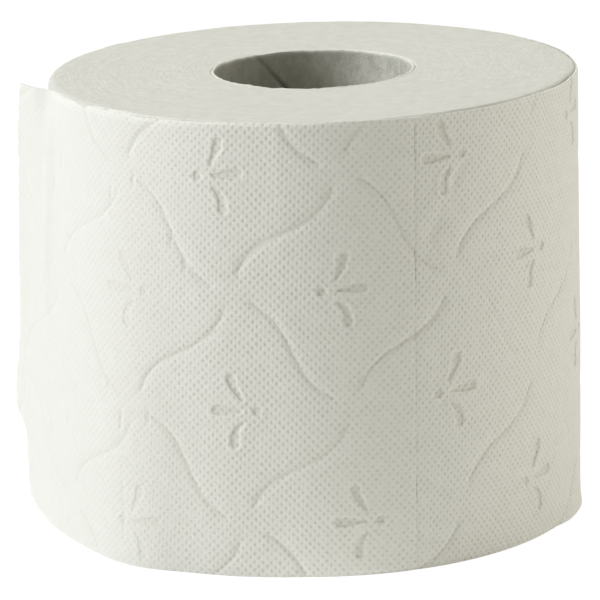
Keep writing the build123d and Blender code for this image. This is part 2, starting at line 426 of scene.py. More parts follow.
def embossing(run, z):
    """How far the trellis and the sprigs push the strip in or out, and the marks for its painted shade and
    fine bump.
    """
    even = run - np.interp(run, *np.array(STRETCH).T)
    relief = np.zeros(run.shape)
    marks = {"side": np.full(run.shape, FAR), "line": np.zeros(run.shape), "petal": np.full(run.shape, FAR)}
    for across, up in crossings(even.min(), even.max()):
        start = trellis_place(across, up)
        rng = np.random.default_rng(9000 + (across % 97) * 41 + up % 41)
        for side in (-1, 1):
            stop = trellis_place(across + side, up - 1)
            first = STROKE_SHARES[0] + rng.uniform(-0.01, 0.02)
            last = STROKE_SHARES[1] + rng.uniform(-0.02, 0.01)
            strength = rng.uniform(0.75, 1.1) * stroke_strength((start + stop) / 2, side)
            points = stroke_points(start, stop, (first, last))
            press_stroke(relief, marks, even, z, points, strength)
        flip = 1 if (across + up) // 2 % 2 == 0 else -1
        middle = trellis_place(across, up - 1)
        press_sprig(relief, marks, even, z, middle, flip, SPRIG_DEPTH * kept_crisp(middle[0]) ** 2.2)
    return relief, marks


def lattice_run(run):
    """The run as the dimples count it: they lie closer together on the sheet right of the perforation."""
    return run + RIGHT_SHEET_SQUEEZE * np.clip(run - PERFORATION_RUNS[0], 0, None)


def dimples(run, z):
    """Small round dimples where two crossed cosine waves both peak, unevenly deep."""
    place = lattice_run(run)
    waves = sum(np.cos(math.tau * (a * place + b * z)) for a, b in DIMPLE_WAVES)
    along = run + NOISE_START
    uneven = 1 + 0.4 * noise(along, z, 5.0, 4.0, 7) + 0.3 * noise(along, z, 1.3, 1.1, 10)
    return -DIMPLE_DEPTH * smooth((waves - 0.1) / 1.8) * uneven * kept_crisp(run)


def creases(run, z):
    """The small folds that the strip got in handling, and the corner of the tail, bent back."""
    relief = np.zeros(run.shape)
    for points, depth, width in CREASES:
        press_crease(relief, run, z, points, depth, width)
    (xa, za), (xb, zb) = DOG_EAR
    length = math.hypot(xb - xa, zb - za)
    beyond = ((z - za) * (xb - xa) - (run - xa) * (zb - za)) / length
    return relief - DOG_EAR_SLOPE * np.clip(beyond, 0, None) * (run < xb + 3)


def perforation_run(z):
    """The run of the perforation line at a height."""
    low, high = PERFORATION_RUNS
    return low + (high - low) * z / WIDTH


def slit_opening(z):
    """Half the width of the perforation's slits by the height, nothing between the slits."""
    opening = np.zeros(z.shape)
    for top, foot, share in SLITS:
        inside = np.minimum(z - foot, top - z)
        opening = np.maximum(opening, SLIT_HALF_WIDTH * share * smooth((inside + 0.2) / 0.6))
    return opening


def perforation_valley(run, z):
    """Where the strip dips along the perforation: a narrow bell across it, uneven along it."""
    uneven = 0.6 + 0.4 * ripple(z + 500, 4.0, 12)
    return uneven * np.exp(-((run - perforation_run(z)) / VALLEY_WIDTH) ** 2)


def softness(run, z):
    """The slow swell of a soft roll: hills of a few centimetres, tenths of a millimetre high."""
    along = run + NOISE_START
    return 0.16 * noise(along, z, 23.0, 31.0, 5) + 0.07 * noise(along, z, 9.0, 13.0, 6)


def lip_gap(angle):
    """How far the last turn stands off the turns inside it, by the angle in degrees from the front."""
    return LIP_GAP * between(angle, *LIP_STRETCH)


def rim_size(angle):
    """The radius of the body's rounded rim: small under the standing lip, larger on the left and behind."""
    return RIM_RADIUS + RIM_GROWTH * (smooth((10 - angle) / 60) + smooth((angle - 72) / 50))


def side_bulge(angle):
    """How far the body swells out towards the loose sheet on the left."""
    return SIDE_SWELL * between(angle, *SWELL_STRETCH)


def second_turn_lift(angle):
    """How far out the strip's second turn lies on the body behind, where the loose sheet is off it."""
    lift = SECOND_TURN_LIFT * between(angle, *SECOND_TURN_STRETCH) + side_bulge(angle - 360)
    return np.where(angle > 0, lift, 0)


def bent_over(angle, z, standing_off):
    """How far the strip's top edge leans in over the body's rim, and how much lower that puts it.

    Above the start of the rim the strip follows a circle about the same centre as the rim: in by the
    radius times one minus the cosine, down by the radius times the turn minus its sine. Where the loose
    sheet stands off only a little, it leans in by that as well.
    """
    furthest_turn, furthest_lean, lean_height = 1.4, 2.2, 9
    wrapped = np.where(angle > 180, angle - 360, angle)
    rim = rim_size(wrapped)
    radius = rim + TURN_GAP
    turn = np.clip((z - (WIDTH - END_SINK - rim)) / radius, 0, furthest_turn)
    hug = smooth((16 - wrapped) / 18) + smooth((wrapped - 76) / 16)
    hug = hug * np.where(angle < 0, smooth((angle + 79) / 9), 1)
    lean = np.clip(standing_off, 0, furthest_lean) * smooth((z - WIDTH + lean_height) / lean_height)
    return hug * (radius * (1 - np.cos(turn)) + lean), hug * radius * (turn - np.sin(turn))


def base_flare(angle, z):
    """How far the last turn's foot stands out on the right."""
    low = np.clip((FLARE_HEIGHT - z) / FLARE_HEIGHT, 0, 1)
    return FOOT_FLARE * between(angle, *FLARE_STRETCH) * low ** 1.2


def top_drop(run, angle):
    """How far the strip's upper edge sinks: more on the loose stretch and at the lip, less at the tail.

    Two soft random waves along the strip make it a little uneven.
    """
    drop = 0.35 * smooth((LOOSE_RUN - run) / 30) + 0.12 - 0.45 * smooth((-68 - run) / 10)
    drop = drop + 0.10 * ripple(run + NOISE_START, 7.0, 8) + 0.05 * ripple(run + NOISE_START, 2.3, 9)
    return drop + 0.22 * lip_gap(angle)


def strip_face(run, z):
    """The strip's outer face: its plan, pushed outward by its relief, with rims, marks and directions."""
    x, y = wall_plan(run, z)
    nx, ny = wall_outward(run, z)
    angle = np.degrees(run / RADIUS)
    relief, marks = embossing(run, z)
    valley = perforation_valley(run, z)
    relief = relief + dimples(run, z) + creases(run, z) + softness(run, z) - VALLEY_DEPTH * valley
    lift = second_turn_lift(angle)
    standing_off = np.where(run > LOOSE_RUN, lift, np.hypot(x, y) - RADIUS) - side_bulge(angle)
    inwards, fall = bent_over(angle, z, standing_off)
    top = smooth((z - (WIDTH - TOP_ROUND)) / TOP_ROUND) ** 1.5
    foot = smooth((FOOT_ROUND - z) / FOOT_ROUND) ** 1.5
    relief = relief * (1 - EDGE_CALM * np.maximum(top, foot)) - FACE_SINK
    relief = relief - FOOT_TUCK * foot * (run > LOOSE_RUN) * (1 - between(angle, *FREE_FOOT_STRETCH))
    level = z - top_drop(run, angle) * smooth((z - WIDTH + 12) / 12) - fall
    reach = relief - inwards + base_flare(angle, z) + lift
    # Masks for the painted shade: how far the strip is pressed in, and the perforation's dip, darkened as a
    # stroke middle
    marks["press"] = np.clip(-relief, -1, 1)
    off_line = run - perforation_run(z)
    marks["side"] = np.where(np.abs(off_line) < np.abs(marks["side"]), off_line, marks["side"])
    marks["line"] = np.maximum(marks["line"], 0.8 * valley)
    # The crisp share also weakens the painted shade on the left end, where the lamp on the left lights the
    # hollows
    marks["crisp"] = kept_crisp(run)
    return np.stack([x + nx * reach, y + ny * reach, level], -1), marks, np.stack([nx, ny, 0 * nx], -1)


def grid_quads(rows, columns, flip=False):
    """The four corners of every cell of a grid whose points are numbered row by row."""
    i, j = np.meshgrid(np.arange(rows - 1), np.arange(columns - 1), indexing="ij")
    a = (i * columns + j).ravel()
    quads = np.stack([a, a + columns, a + columns + 1, a + 1], -1)
    return quads[:, ::-1] if flip else quads


def add_mesh(name, points, quads, triangles=None, uv=None, masks=None, materials=()):
    """A new object from points in millimetres and its faces, with a UV place and masks for each point."""
    sharp_angle = math.radians(50)
    triangles = np.zeros((0, 3), int) if triangles is None else triangles
    mesh = bpy.data.meshes.new(name)
    mesh.vertices.add(len(points))
    mesh.vertices.foreach_set("co", (points * MM).astype(np.float32).ravel())
    corners = np.concatenate([quads.ravel(), triangles.ravel()]).astype(np.int32)
    starts = np.concatenate([np.arange(len(quads)) * 4, len(quads) * 4 + np.arange(len(triangles)) * 3])
    mesh.loops.add(len(corners))
    mesh.loops.foreach_set("vertex_index", corners)
    mesh.polygons.add(len(starts))
    mesh.polygons.foreach_set("loop_start", starts.astype(np.int32))
    mesh.update(calc_edges=True)
    if uv is not None:
        layer = mesh.uv_layers.new(name="strip")
        layer.uv.foreach_set("vector", uv[corners].astype(np.float32).ravel())
    for key, values in (masks or {}).items():
        attribute = mesh.attributes.new(key, "FLOAT", "POINT")
        attribute.data.foreach_set("value", values.astype(np.float32).ravel())
    mesh.validate()
    mesh.polygons.foreach_set("use_smooth", np.ones(len(mesh.polygons), bool))
    mesh.set_sharp_from_angle(angle=sharp_angle)
    for material in materials:
        mesh.materials.append(material)
    piece = bpy.data.objects.new(name, mesh)
    bpy.context.scene.collection.objects.link(piece)
    return piece


def border(rows, columns):
    """The outer ring of a grid, once round: along the first row, the last column and back."""
    first = np.arange(columns - 1)
    right = np.arange(rows - 1) * columns + columns - 1
    last = (rows - 1) * columns + np.arange(columns - 1, 0, -1)
    left = np.arange(rows - 1, 0, -1) * columns
    return np.concatenate([first, right, last, left])


def shell(name, run, z, materials):
    """A closed stretch of the strip: a fine outer face, and an inner face with half as many rows.

    Both are the same surface, one sheet apart. Three triangles join each pair of outer steps round the
    border to the inner step beside them.
    """
    outer, marks, outward = strip_face(run, z)
    rows, columns = run.shape
    inner = (outer - outward * THICK)[::2, ::2]
    inner_rows, inner_columns = inner.shape[:2]
    count = rows * columns
    points = np.concatenate([outer.reshape(-1, 3), inner.reshape(-1, 3)])
    quads = np.concatenate([
        grid_quads(rows, columns), count + grid_quads(inner_rows, inner_columns, flip=True)])
    ring, inner_ring = border(rows, columns), count + border(inner_rows, inner_columns)
    a, b, c = ring[::2], ring[1::2], np.roll(ring, -1)[1::2]
    p, q = inner_ring, np.roll(inner_ring, -1)
    fans = np.concatenate([np.stack([a, b, p], -1), np.stack([b, c, q], -1), np.stack([b, q, p], -1)])
    uv = np.stack([lattice_run(run), z], -1)
    uv = np.concatenate([uv.reshape(-1, 2), uv[::2, ::2].reshape(-1, 2)])
    masks = {key: np.concatenate([mark.ravel(), mark[::2, ::2].ravel()]) for key, mark in marks.items()}
    return add_mesh(name, points, quads, fans, uv, masks, materials)


def strip_grid(start, stop, step, rows_step=ROW_STEP):
    """Even runs and heights over a stretch of the strip, both odd in number."""
    columns = int(round((stop - start) / step / 2)) * 2 + 1
    rows = int(round(WIDTH / rows_step / 2)) * 2 + 1
    return np.meshgrid(np.linspace(start, stop, columns), np.linspace(0, WIDTH, rows), indexing="ij")


def tail_grid():
    """As strip_grid for the end of the loose stretch, whose first columns are pulled to the torn edge."""
    heights, edges = np.array(TEAR).T
    first = edges.min()
    run, z = strip_grid(first, LEFT_JOINT, TAIL_STEP)
    torn = np.interp(z[0], heights, edges)
    torn = torn + 0.16 * ripple(z[0], 0.9, 21) + 0.12 * ripple(z[0], 2.6, 22)
    share = np.clip((first + TAIL_GIVE - run) / TAIL_GIVE, 0, 1)
    return run + share * (torn - first)[None, :], z


def slit_grid(start, stop, step):
    """As strip_grid for a stretch that starts or stops at the perforation, with its edge at the slits."""
    run, z = strip_grid(start, stop, step)
    line = perforation_run(z[0])
    if stop == PERFORATION_MIDDLE:
        share = np.clip((run - (stop - SLIT_GIVE)) / SLIT_GIVE, 0, 1)
        return run + share * (line - slit_opening(z[0]) - stop)[None, :], z
    share = np.clip((start + SLIT_GIVE - run) / SLIT_GIVE, 0, 1)
    return run + share * (line + slit_opening(z[0]) - start)[None, :], z


def ring_solid(name, profile, steps, shape, materials, material_of=0):
    """A closed body of revolution: a closed chain of (radius, height) carried once round the axis.

    shape moves the whole arrays of radii and heights and gives the masks. material_of numbers the
    material of each step of the chain.
    """
    radius, height = np.array(profile).T
    angles = np.linspace(0, math.tau, steps, endpoint=False)
    angle, radius = np.meshgrid(angles, radius, indexing="ij")
    height = np.broadcast_to(height, radius.shape)
    reach, level, masks = shape(angle, radius, height)
    points = np.stack([reach * np.sin(angle), -reach * np.cos(angle), level], -1)
    rows, columns = radius.shape
    i, j = np.meshgrid(np.arange(rows), np.arange(columns), indexing="ij")
    i1, j1 = (i + 1) % rows, (j + 1) % columns
    quads = np.stack([i * columns + j, i1 * columns + j, i1 * columns + j1, i * columns + j1], -1)
    flat = {key: value.ravel() for key, value in masks.items()}
    piece = add_mesh(name, points.reshape(-1, 3), quads.reshape(-1, 4), masks=flat, materials=materials)
    which = np.broadcast_to(np.array(material_of, np.int32), (rows, columns)).ravel()
    piece.data.polygons.foreach_set("material_index", which)
    return piece


def wound_turns(end_material, wall_material):
    """The body of inner turns: both ends with the edges of its turns, rounded rims, and plain walls.

    The profile runs from the bore up, out over the top, down the wall and in under the base. On the
    ends each turn has its own small height, which changes slowly round the roll. A point of a rim is
    given by its turn on the rim's circle, and one beside it by its share of the way there.
    """
    wall, upper_end, lower_end, none = 0, 1, 2, -1
    bore = BOARD_OUTER + TUBE_GAP
    edge = RADIUS - TURN_SHRINK - BODY_INSET
    flat = edge - WIDEST_RIM
    top, base, first_ring = WIDTH - END_SINK, 0.1, 0.25
    fine_step, coarse_step, steps_round = 0.30, 1.2, 540
    turn_pitch, edge_height = 0.42, 0.035
    between_rings = np.linspace(0.12, 0.94, 6)
    arc = np.linspace(0, math.pi / 2, 9)
    rows = [(bore, h, wall, none, none) for h in np.linspace(0.4, WIDTH - 0.5, 8)]
    rows += [(r, top, upper_end, none, none) for r in np.arange(bore + first_ring, flat, fine_step)]
    rows += [(flat, top, upper_end, none, share) for share in between_rings]
    rows += [(edge, top, upper_end, turn, none) for turn in arc[:-1]] + [(edge, top, wall, arc[-1], none)]
    rows += [(edge, h, wall, none, none) for h in np.linspace(WIDTH - 8, 8, 8)]
    rows += [(edge, base, lower_end, turn, none) for turn in arc[::-1]]
    rows += [(flat, base, lower_end, none, share) for share in between_rings[::-1]]
    rows += [(r, base, lower_end, none, none) for r in np.arange(flat, bore + first_ring, -coarse_step)]
    table = np.array(rows)
    kinds, turn, share = table[:, 2], table[:, 3], table[:, 4]

    def shape(angle, radius, height):
        degrees = np.degrees(angle)
        degrees = np.where(degrees > 180, degrees - 360, degrees)
        rim = rim_size(degrees)
        up = np.where(kinds == lower_end, -1, 1)
        radius = np.where(turn >= 0, edge - rim + rim * np.sin(turn), radius)
        height = np.where(turn >= 0, height - up * rim * (1 - np.cos(turn)), height)
        radius = np.where(share >= 0, radius + share * (WIDEST_RIM - rim), radius)
        outer = smooth((radius - (edge - 9)) / 9)
        reach = radius - lip_gap(degrees) * outer + side_bulge(degrees) * outer
        turns = (radius - bore) / turn_pitch + angle / math.tau
        around = angle / math.tau * steps_round
        edges = edge_height * noise(around, turns, 15, 1.0, 41, steps_round // 15)
        edges = edges + edge_height * noise(around, turns, 4, 1.6, 42, steps_round // 4)
        slow = 0.10 * noise(around, turns, 30, 9.0, 43, steps_round // 30)
        on_end = kinds != wall
        lift = np.where(on_end, edges + slow, 0) * smooth((radius - bore - 0.1) / 0.6)
        lift = lift * np.where(kinds == lower_end, -0.3, 1) * (radius < edge - 0.2)
        level = np.where(kinds == lower_end, np.clip(height + lift, 0.05, None), height + lift)
        return reach, level, {"turns": np.where(on_end, edges / (2 * edge_height), 0)}

    materials, which = (end_material, wall_material), (kinds == wall).astype(int)
    return ring_solid("wound_turns", table[:, :2], steps_round, shape, materials, which)


def board_tube(material):
    """The cardboard tube, with the helical seam of its inner strip and a slightly ragged upper rim.

    Along the seam, whose height rises with the angle, a narrow groove lies beside a raised edge. The
    masks mark the painted shade along the seam, the lap beside it, the cut rims, the painted light on the
    right side of the bore and the painted shade on its left side.
    """
    seam_lean, seam_top = math.radians(48.4), math.radians(-144)
    seam_rise = BORE * math.tan(seam_lean)
    bevel, bevel_height = 0.12, 0.15
    groove_depth, groove_width, lap_height = 0.16, 0.35, 0.10
    cut = [(BOARD_OUTER - bevel, WIDTH), (BORE + bevel, WIDTH)]
    foot = [(BORE + bevel, 0.0), (BOARD_OUTER - bevel, 0.0)]
    inner = [(BORE, h) for h in np.linspace(WIDTH - bevel_height, bevel_height, 180)]
    outer = [(BOARD_OUTER, h) for h in np.linspace(bevel_height, WIDTH - bevel_height, 12)]
    profile = outer + cut + inner + foot

    def shape(angle, radius, height):
        seam = (angle - seam_top - (height - WIDTH) / seam_rise + math.pi) % math.tau - math.pi
        across = seam * BORE * math.sin(seam_lean)
        inside = radius < BORE + 0.05
        groove = groove_depth * np.exp(-(across / groove_width) ** 2)
        lap = lap_height * smooth((across + 9) / 8) * (across < 0)
        soft = 0.05 * noise(angle * 30 / math.pi, height, 4, 9, 51, 15)
        reach = radius + np.where(inside, groove - lap + soft, 0)
        degrees = angle * 180 / math.pi
        ragged = 0.10 * ripple(degrees, 3, 52, 120) + 0.12 * ripple(degrees, 12, 53, 30)
        level = height + (ragged - 0.1) * smooth((height - WIDTH + 3) / 3)
        side = np.sin(angle) * BORE
        below_rim = 0.25 + 0.75 * smooth((WIDTH - height - 2) / 7)
        return reach, level, {
            # The seam mark is painted shade in the seam's groove, fainter near the rim and darker deeper in
            # the bore
            "seam": inside * np.exp(-(across / 0.36) ** 2) * below_rim,
            # Painted light on the right side of the bore, where the lamps reach the inside
            "painted_light": inside * smooth((side + 3) / 23),
            "shade": inside * smooth((4 - side) / 14),
            "lap": inside * smooth((across + 14) / 10) * (across < 0),
            "rim": smooth((height - WIDTH + 0.9) / 0.7) + (~inside),
        }

    return ring_solid("board_tube", profile, 360, shape, (material,))


class Nodes:
    """Short calls for the nodes of one material or group."""

    def __init__(self, tree):
        self.tree = tree

    def feed(self, node, key, value):
        if isinstance(value, bpy.types.NodeSocket):
            self.tree.links.new(value, node.inputs[key])
        else:
            node.inputs[key].default_value = value

    def add(self, kind, inputs=None, **settings):
        node = self.tree.nodes.new(kind)
        for key, value in settings.items():
            setattr(node, key, value)
        for key, value in (inputs or {}).items():
            self.feed(node, key, value)
        return node

    def math(self, operation, a, b=0.0, clamp=False):
        return self.add("ShaderNodeMath", {0: a, 1: b}, operation=operation, use_clamp=clamp).outputs[0]

    def plus(self, a, b, clamp=False):
        return self.math("ADD", a, b, clamp)

    def times(self, a, b, clamp=False):
        return self.math("MULTIPLY", a, b, clamp)

    def span(self, value, low, high, to_low=0.0, to_high=1.0, kind="SMOOTHSTEP"):
        sides = {0: value, 1: low, 2: high, 3: to_low, 4: to_high}
        return self.add("ShaderNodeMapRange", sides, interpolation_type=kind).outputs[0]

    def noise(self, place, scale, detail, roughness=0.5):
        settings = {"Vector": place, "Scale": scale, "Detail": detail, "Roughness": roughness}
        return self.add("ShaderNodeTexNoise", settings).outputs[0]

    def tinted(self, colour, tones):
        """The colour with each tone laid over it in turn, by its share."""
        for share, tone in tones:
            colour = self.add("ShaderNodeMix", {0: share, 6: colour, 7: tone}, data_type="RGBA").outputs[2]
        return colour

    def marks(self, *keys):
        """The masks that the mesh carries at its points, by name."""
        return {key: self.add("ShaderNodeAttribute", attribute_name=key).outputs["Fac"] for key in keys}

    def bump(self, shader, height, distance):
        """A bump on the shader, with the height's unit as a distance in metres."""
        bump = self.add("ShaderNodeBump", {"Height": height, "Distance": distance})
        self.feed(shader, "Normal", bump.outputs[0])


def new_group(name, inputs, outputs):
    """An empty shader group with named sockets, and its two end nodes."""
    tree = bpy.data.node_groups.new(name, "ShaderNodeTree")
    for direction, sockets in (("INPUT", inputs), ("OUTPUT", outputs)):
        for socket, kind in sockets.items():
            tree.interface.new_socket(socket, in_out=direction, socket_type=kind)
    return Nodes(tree), tree.nodes.new("NodeGroupInput"), tree.nodes.new("NodeGroupOutput")


def dimple_group():
    """Small round dimples on a leaning centred lattice, and the fine columns that they stand in.

    The mask is high where two crossed cosine waves both peak. The columns are a third cosine wave, whose
    cycles in each millimetre are the sums of theirs.
    """
    nodes, start, stop = new_group(
        "dimple_lattice", {"Place": "NodeSocketVector"},
        {"Mask": "NodeSocketFloat", "Columns": "NodeSocketFloat"})
    place = start.outputs["Place"]
    waves = []
    for wave in (*DIMPLE_WAVES, np.sum(DIMPLE_WAVES, axis=0)):
        dot = nodes.add("ShaderNodeVectorMath", {0: place, 1: (*wave, 0.0)}, operation="DOT_PRODUCT")
        waves.append(nodes.math("COSINE", nodes.times(dot.outputs["Value"], math.tau)))
    ragged = nodes.span(nodes.noise(place, 1.1, 2.0), 0.3, 0.7, -0.45, 0.45, "LINEAR")
    peak = nodes.plus(nodes.plus(waves[0], waves[1]), ragged)
    level = nodes.span(nodes.noise(place, 0.35, 3.0), 0.3, 0.7, 0.4, 1.4, "LINEAR")
    nodes.feed(stop, "Mask", nodes.times(nodes.span(peak, 0.05, 1.9), level, True))
    nodes.feed(stop, "Columns", waves[2])
    return nodes.tree


def fibre_group():
    """Short fibres: a stretched fine noise over a coarser one, as a height and a spread of tone."""
    nodes, start, stop = new_group(
        "paper_fibre", {"Place": "NodeSocketVector", "Stretch": "NodeSocketVector"},
        {"Height": "NodeSocketFloat", "Tone": "NodeSocketFloat"})
    sides = {0: start.outputs["Place"], 1: start.outputs["Stretch"]}
    place = nodes.add("ShaderNodeVectorMath", sides, operation="MULTIPLY").outputs[0]
    fine, coarse = nodes.noise(place, 2.6, 5.0, 0.62), nodes.noise(place, 0.42, 4.0)
    nodes.feed(stop, "Height", nodes.plus(nodes.times(fine, 0.6), nodes.times(coarse, 0.4)))
    nodes.feed(stop, "Tone", nodes.span(nodes.plus(fine, coarse), 0.75, 1.25, 0.0, 1.0, "LINEAR"))
    return nodes.tree


def new_material(name):
    """A material with one Principled shader, dull, and the calls for its nodes."""
    material = bpy.data.materials.new(name)
    material.use_nodes = True
    nodes = Nodes(material.node_tree)
    shader = material.node_tree.nodes["Principled BSDF"]
    shader.inputs["Specular IOR Level"].default_value = 0.25
    return material, nodes, shader


def fibres_on_object(nodes, fibres, stretch):
    """The fibres by the place on the object in millimetres, and the place in metres."""
    place = nodes.add("ShaderNodeTexCoord").outputs["Object"]
    scaled = nodes.add("ShaderNodeVectorMath", {0: place, 1: (1 / MM,) * 3}, operation="MULTIPLY")
    fibre = nodes.add("ShaderNodeGroup", {"Place": scaled.outputs[0], "Stretch": stretch}, node_tree=fibres)
    return fibre, place


# The tissue's deep tone serves both its fibres' random tone and the painted shade in pressed places and
# petal hollows; its darkest tone is painted shade in dimples, stroke middles and petal walls.
TISSUE = (0.87, 0.875, 0.845, 1)
TISSUE_TONE_AND_SHADE = (0.72, 0.715, 0.64, 1)
TISSUE_PAINTED_SHADE = (0.42, 0.41, 0.31, 1)
TURN_EDGES = (0.76, 0.765, 0.74, 1)
TURN_EDGES_DEEP = (0.57, 0.57, 0.52, 1)
BOARD_GREY = (0.325, 0.325, 0.275, 1)
BOARD_PALE = (0.445, 0.445, 0.39, 1)
BOARD_LAP = (0.70, 0.69, 0.64, 1)
BOARD_SHADE = (0.22, 0.22, 0.19, 1)
# The near-black tone for the painted shade in the seam's groove
BOARD_SEAM_SHADE = (0.08, 0.075, 0.06, 1)
BOARD_CUT = (0.80, 0.80, 0.77, 1)
# The pale tone for the painted light on the bore's right side
BOARD_PAINTED_LIGHT = (0.84, 0.84, 0.77, 1)

# The strip's marks: how far they darken its tone as painted shade in pressed places, petal hollows and
# walls, dimples and stroke middles, and in millimetres how high its fibres stand, how deep its dimples,
# hollows, columns and stroke middles lie, and how wide a stroke's middle is
PRESS_SHADE, HOLLOW_SHADE, DIMPLE_SHADE, LINE_SHADE, WALL_SHADE = 0.12, 0.22, 0.25, 0.13, 0.07
FIBRE_RISE = 0.06
FALLS = (0.085, 0.10, 0.003, 0.05)
LINE_WIDTH = 0.26

# The rings on the ends: how much their noise changes round the roll and in each metre of radius
RINGS_ROUND, RINGS_OUTWARD = 14.0, 2600.0


def tissue_material(dimples, fibres):
    """The strip's face: pressed dimples, strokes and sprigs, darkened by painted shade, over soft short
    fibres.

    The middle of a stroke is e to the power of minus the square of the distance over its width. Heights
    are in millimetres: they carry the crisp walls that are finer than the mesh.
    """
    material, nodes, shader = new_material("tissue_face")
    place = nodes.add("ShaderNodeUVMap", uv_map="strip").outputs[0]
    marks = nodes.marks("press", "side", "line", "petal", "crisp")
    dots = nodes.add("ShaderNodeGroup", {"Place": place}, node_tree=dimples)
    fibre = nodes.add("ShaderNodeGroup", {"Place": place, "Stretch": (1.0, 0.7, 1.0)}, node_tree=fibres)
    near = nodes.math("DIVIDE", marks["side"], LINE_WIDTH)
    line = nodes.times(nodes.math("EXPONENT", nodes.times(nodes.times(near, near), -1.0)), marks["line"])
    petal, crisp = marks["petal"], marks["crisp"]
    # Painted shade: pressed places, petal hollows and walls, dimples and stroke middles darken the tone
    # The crisp mark makes the painted shade weaker on the left end, where the lamp on the left lights the
    # hollows
    dimple = nodes.times(dots.outputs["Mask"], crisp)
    hollow = nodes.times(nodes.span(petal, 0.12, -0.14), crisp)
    wall = nodes.times(nodes.times(nodes.span(petal, 0.20, 0.0), nodes.span(petal, -0.34, -0.08)), crisp)
    pressed = nodes.times(nodes.span(marks["press"], 0.15, 0.60), PRESS_SHADE)
    colour = nodes.tinted(TISSUE, (
        (nodes.span(fibre.outputs["Tone"], 0.0, 1.0, 0.0, 0.10), TISSUE_TONE_AND_SHADE),
        (nodes.plus(pressed, nodes.times(hollow, HOLLOW_SHADE)), TISSUE_TONE_AND_SHADE),
        (nodes.times(dimple, DIMPLE_SHADE), TISSUE_PAINTED_SHADE),
        (nodes.plus(nodes.times(line, LINE_SHADE), nodes.times(wall, WALL_SHADE), True), TISSUE_PAINTED_SHADE)))
    nodes.feed(shader, "Base Color", colour)
    nodes.feed(shader, "Roughness", nodes.span(fibre.outputs["Tone"], 0.0, 1.0, 0.86, 0.97, "LINEAR"))
    height = nodes.times(fibre.outputs["Height"], FIBRE_RISE)
    columns = dots.outputs["Columns"]
    for mark, fall in zip((dimple, hollow, columns, line), FALLS):
        height = nodes.math("SUBTRACT", height, nodes.times(mark, fall))
    nodes.bump(shader, height, MM)
    return material


def ends_material(fibres):
    """The ends of the turns: fine rings about the axis with an uneven tone, over soft fibres.

    The rings are noise at a place made of the cosine and the sine of the angle, and of the radius, which
    counts far more.
    """
    material, nodes, shader = new_material("tissue_turn_edges")
    fibre, place = fibres_on_object(nodes, fibres, (1.0, 1.0, 1.0))
    split = nodes.add("ShaderNodeSeparateXYZ", {0: place})
    x, y = split.outputs[0], split.outputs[1]
    angle = nodes.math("ARCTAN2", y, x)
    reach = nodes.math("SQRT", nodes.plus(nodes.times(x, x), nodes.times(y, y)))
    rings = nodes.add("ShaderNodeCombineXYZ", {
        0: nodes.times(nodes.math("COSINE", angle), RINGS_ROUND),
        1: nodes.times(nodes.math("SINE", angle), RINGS_ROUND),
        2: nodes.times(reach, RINGS_OUTWARD)})
    lines = nodes.noise(rings.outputs[0], 1.0, 4.0, 0.6)
    turns = nodes.marks("turns")["turns"]
    deep = nodes.plus(nodes.span(lines, 0.60, 0.36, 0.0, 0.24), nodes.span(turns, 0.0, -1.0, 0.0, 0.16))
    deep = nodes.plus(deep, nodes.span(fibre.outputs["Tone"], 0.3, 0.8, 0.0, 0.16))
    nodes.feed(shader, "Base Color", nodes.tinted(TURN_EDGES, ((deep, TURN_EDGES_DEEP),)))
    nodes.feed(shader, "Roughness", 0.95)
    nodes.bump(shader, nodes.plus(lines, nodes.times(fibre.outputs["Height"], 0.8)), 0.00020)
    return material


def board_material(fibres):
    """Grey board: speckled fibres, painted light on its right, painted shade on its left and along its
    seam, pale cut rims.
    """
    material, nodes, shader = new_material("grey_board")
    fibre, _ = fibres_on_object(nodes, fibres, (1.0, 1.0, 0.8))
    tone = fibre.outputs["Tone"]
    marks = nodes.marks("seam", "lap", "rim", "painted_light", "shade")
    colour = nodes.tinted(BOARD_GREY, (
        (tone, BOARD_PALE),
        (nodes.times(marks["lap"], 0.08), BOARD_LAP),
        # Painted light on the right side of the bore, mottled by the fibres' tone
        (nodes.times(marks["painted_light"], nodes.span(tone, 0.1, 0.9, 0.45, 0.85)), BOARD_PAINTED_LIGHT),
        (nodes.times(marks["shade"], 0.27), BOARD_SHADE),
        # Painted shade along the seam's groove
        (marks["seam"], BOARD_SEAM_SHADE),
        (nodes.times(marks["rim"], 0.8, True), BOARD_CUT)))
    nodes.feed(shader, "Base Color", colour)
    nodes.feed(shader, "Roughness", 0.9)
    nodes.bump(shader, fibre.outputs["Height"], 0.00015)
    return material


def plainly_seen(nodes):
    """One for the rays that come from the camera, a gloss or a clear body, and zero for the others."""
    path = nodes.add("ShaderNodeLightPath").outputs
    other = nodes.math("MAXIMUM", path["Is Glossy Ray"], path["Is Transmission Ray"])
    return nodes.math("MAXIMUM", path["Is Camera Ray"], other)


